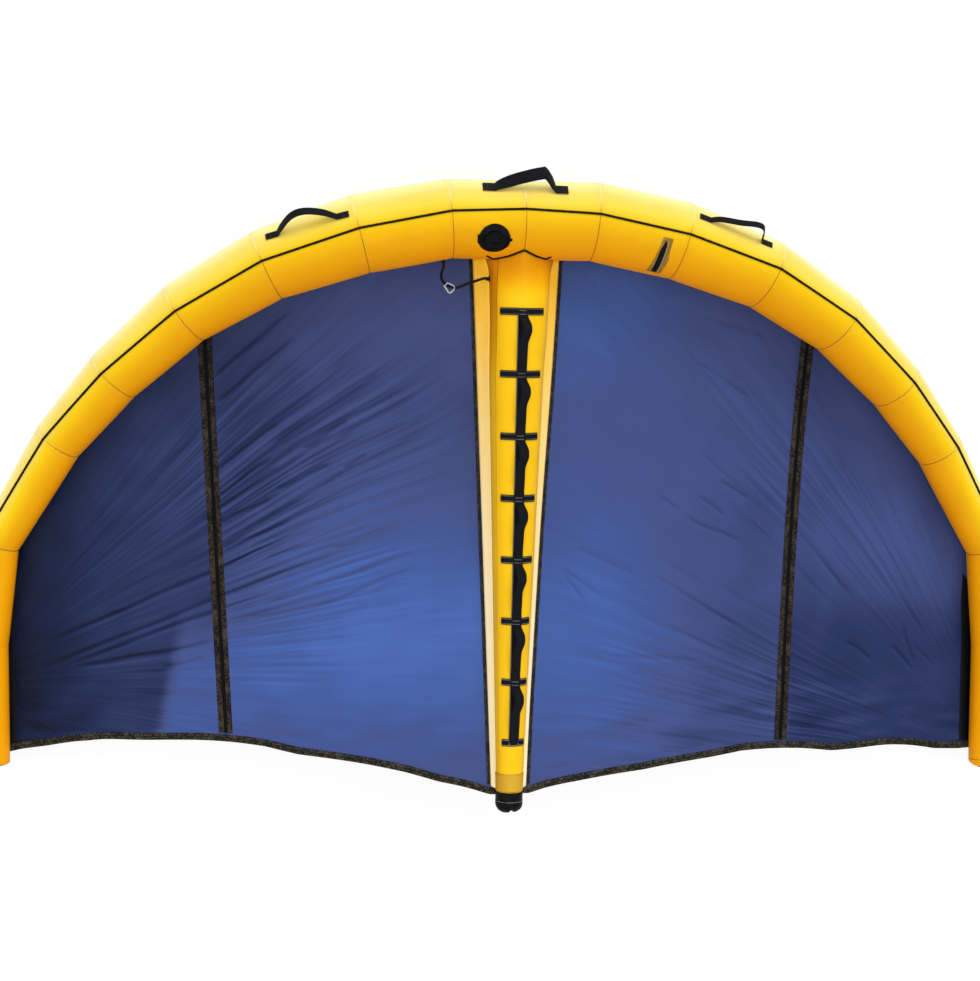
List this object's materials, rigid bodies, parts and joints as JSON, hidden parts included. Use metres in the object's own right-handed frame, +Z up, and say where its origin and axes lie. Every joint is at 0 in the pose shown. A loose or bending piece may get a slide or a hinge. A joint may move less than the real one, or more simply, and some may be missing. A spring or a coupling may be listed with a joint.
{
  "type": "foil wing",
  "caption": "Inflatable hand-held wing: arched leading edge tube with valve and grips, tapered centre strut with webbing loops, hose with clamp, and a two-tone cloth canopy.",
  "frame": {"origin": "centre of the bounding box's bottom face, on the surface that the wing lies on", "axes": "+X to the right tip, +Y to the leading edge, +Z up, with the handles on the upper side"},
  "size_m": [3.5906, 2.1262, 0.4468],
  "materials": {
    "yellow_sleeve": "tightly woven yellow polyester, inflated hard",
    "pale_sleeve": "single layer of pale yellow cloth",
    "blue_canopy": "blue ripstop cloth, slightly sheer",
    "navy_canopy": "dark navy ripstop cloth",
    "black_webbing": "black woven webbing with pale stitching",
    "black_trim": "black reinforcing cloth",
    "bladder_film": "clear milky film",
    "black_plastic": "black moulded plastic",
    "grey_plastic": "dark grey moulded plastic",
    "pale_plastic": "off-white moulded strip",
    "spring_steel": "bare spring wire"
  },
  "bodies": {
    "wing": {"leading_edge_panel_left_1": "yellow_sleeve", "leading_edge_panel_left_2": "yellow_sleeve", "leading_edge_panel_left_3": "yellow_sleeve", "leading_edge_panel_left_4": "yellow_sleeve", "leading_edge_panel_left_5": "yellow_sleeve", "leading_edge_panel_left_6": "yellow_sleeve", "leading_edge_panel_left_7": "yellow_sleeve", "leading_edge_panel_left_8": "yellow_sleeve", "leading_edge_panel_right_1": "yellow_sleeve", "leading_edge_panel_right_2": "yellow_sleeve", "leading_edge_panel_right_3": "yellow_sleeve", "leading_edge_panel_right_4": "yellow_sleeve", "leading_edge_panel_right_5": "yellow_sleeve", "leading_edge_panel_right_6": "yellow_sleeve", "leading_edge_panel_right_7": "yellow_sleeve", "leading_edge_panel_right_8": "yellow_sleeve", "tip_cap_left": "black_trim", "tip_cap_right": "black_trim", "leading_edge_bladder": "bladder_film", "leading_edge_piping_left": "black_trim", "leading_edge_piping_right": "black_trim", "junction_piping": "black_trim", "strut_sleeve": "yellow_sleeve", "strut_bladder": "bladder_film", "strut_end_cap": "black_trim", "strut_flap_left": "pale_sleeve", "strut_flap_right": "pale_sleeve", "canopy_centre": "blue_canopy", "canopy_left_inner": "blue_canopy", "canopy_right_inner": "blue_canopy", "canopy_left_outer": "navy_canopy", "canopy_right_outer": "navy_canopy", "canopy_seam_band_left": "black_trim", "canopy_seam_band_right": "black_trim", "trailing_edge_hem_left": "black_trim", "trailing_edge_hem_right": "black_trim", "strut_handle_ladder": "black_webbing", "strut_loop_1": "black_webbing", "strut_loop_2": "black_webbing", "strut_loop_3": "black_webbing", "strut_loop_4": "black_webbing", "strut_loop_5": "black_webbing", "strut_loop_6": "black_webbing", "strut_loop_7": "black_webbing", "grip_centre": "black_webbing", "grip_left": "black_webbing", "grip_right": "black_webbing", "valve_base": "black_plastic", "valve_tether": "black_plastic", "valve_spring": "spring_steel", "hose_fitting_tube": "black_plastic", "hose_fitting_strut": "black_plastic", "inflation_hose": "black_plastic", "hose_clip": "pale_plastic", "zip_facing": "black_trim", "zip_chain": "black_webbing"},
    "valve_cap": {"valve_cap": "grey_plastic"},
    "valve_finger_tab": {"valve_finger_tab": "grey_plastic"},
    "valve_plunger": {"valve_plunger": "black_plastic"},
    "zip_slider": {"zip_slider": "grey_plastic"}
  },
  "joints": [
    {"name": "valve_cap_turn", "type": "hinge", "parent": "wing", "child": "valve_cap", "pos_m": [-0.101, 0.83308, 0.42281], "axis": [0.0055, -0.5, 0.866], "range_deg": [0, 90]},
    {"name": "valve_tab_fold", "type": "hinge", "parent": "valve_cap", "child": "valve_finger_tab", "pos_m": [-0.10098, 0.83128, 0.42593], "axis": [-1, -0.0027, 0.0047], "range_deg": [0, 95]},
    {"name": "valve_plunger_push", "type": "slide", "parent": "wing", "child": "valve_plunger", "axis": [-0.0055, 0.5, -0.866], "range_m": [0, 0.005], "stiffness_N_per_m": 80, "springref_m": -0.005, "deforming": ["valve_spring"]},
    {"name": "zip_slider_run", "type": "hinge", "parent": "wing", "child": "zip_slider", "pos_m": [0.45448, 0.85456, 0.31203], "axis": [0.9749, -0.221, -0.0262], "range_deg": [-11, 36]}
  ]
}
